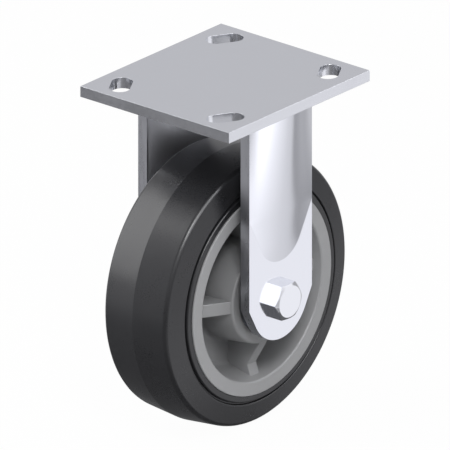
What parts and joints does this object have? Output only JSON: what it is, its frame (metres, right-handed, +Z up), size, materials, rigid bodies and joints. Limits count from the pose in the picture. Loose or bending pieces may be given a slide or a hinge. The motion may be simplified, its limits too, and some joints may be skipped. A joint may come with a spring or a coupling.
{
  "type": "fixed castor",
  "caption": "Fixed plate castor: slotted rectangular top plate, two dished steel legs and a rubber-tyred wheel on ball bearings round a bolted axle.",
  "frame": {"origin": "centre of the top plate's upper face, which bolts against the underside of what the castor carries", "axes": "+Z up, out of the plate's upper face; +X along the axle, towards the bolt's head; +Y along the rolling direction"},
  "size_m": [0.1061, 0.1506, 0.1896],
  "materials": {
    "plate_zinc": "bright zinc plate, faintly satin",
    "leg_zinc": "bright zinc plate, polished",
    "weld_steel": "plated weld bead",
    "bolt_zinc": "bright plated, polished",
    "nylon": "off-white nylon",
    "sleeve_steel": "turned steel",
    "bearing_steel": "ground bearing steel",
    "cage_steel": "pressed steel",
    "core_plastic": "grey moulded plastic",
    "tyre_rubber": "dark grey-black rubber"
  },
  "bodies": {
    "fork": {"top_plate": "plate_zinc", "fork_leg_right": "leg_zinc", "fork_leg_left": "leg_zinc", "weld_right": "weld_steel", "weld_left": "weld_steel", "axle_bolt": "bolt_zinc", "nut_washer": "bolt_zinc", "lock_nut": "bolt_zinc", "nut_insert": "nylon", "axle_sleeve": "sleeve_steel", "bearing_spacer": "sleeve_steel", "end_spacer_right": "sleeve_steel", "end_spacer_left": "sleeve_steel", "bearing_inner_ring_right": "bearing_steel", "bearing_inner_ring_left": "bearing_steel"},
    "wheel": {"wheel_core": "core_plastic", "tyre": "tyre_rubber", "bearing_outer_ring_right": "bearing_steel", "bearing_outer_ring_left": "bearing_steel", "bearing_shield_right_outer": "cage_steel", "bearing_shield_right_inner": "cage_steel", "bearing_shield_left_outer": "cage_steel", "bearing_shield_left_inner": "cage_steel"},
    "ball_set_right": {"ball_cage_right": "cage_steel", "balls_right": "bearing_steel"},
    "ball_set_left": {"ball_cage_left": "cage_steel", "balls_left": "bearing_steel"}
  },
  "joints": [
    {"name": "wheel_spin", "type": "hinge", "parent": "fork", "child": "wheel", "pos_m": [0, 0, -0.1143], "axis": [1, 0, 0], "continuous": true},
    {"name": "ball_set_right_spin", "type": "hinge", "parent": "fork", "child": "ball_set_right", "pos_m": [0, 0, -0.1143], "axis": [1, 0, 0], "continuous": true},
    {"name": "ball_set_left_spin", "type": "hinge", "parent": "fork", "child": "ball_set_left", "pos_m": [0, 0, -0.1143], "axis": [1, 0, 0], "continuous": true}
  ],
  "couplings": [
    {"joint": "ball_set_right_spin", "follows": "wheel_spin", "ratio": 0.6184},
    {"joint": "ball_set_left_spin", "follows": "wheel_spin", "ratio": 0.6184}
  ]
}
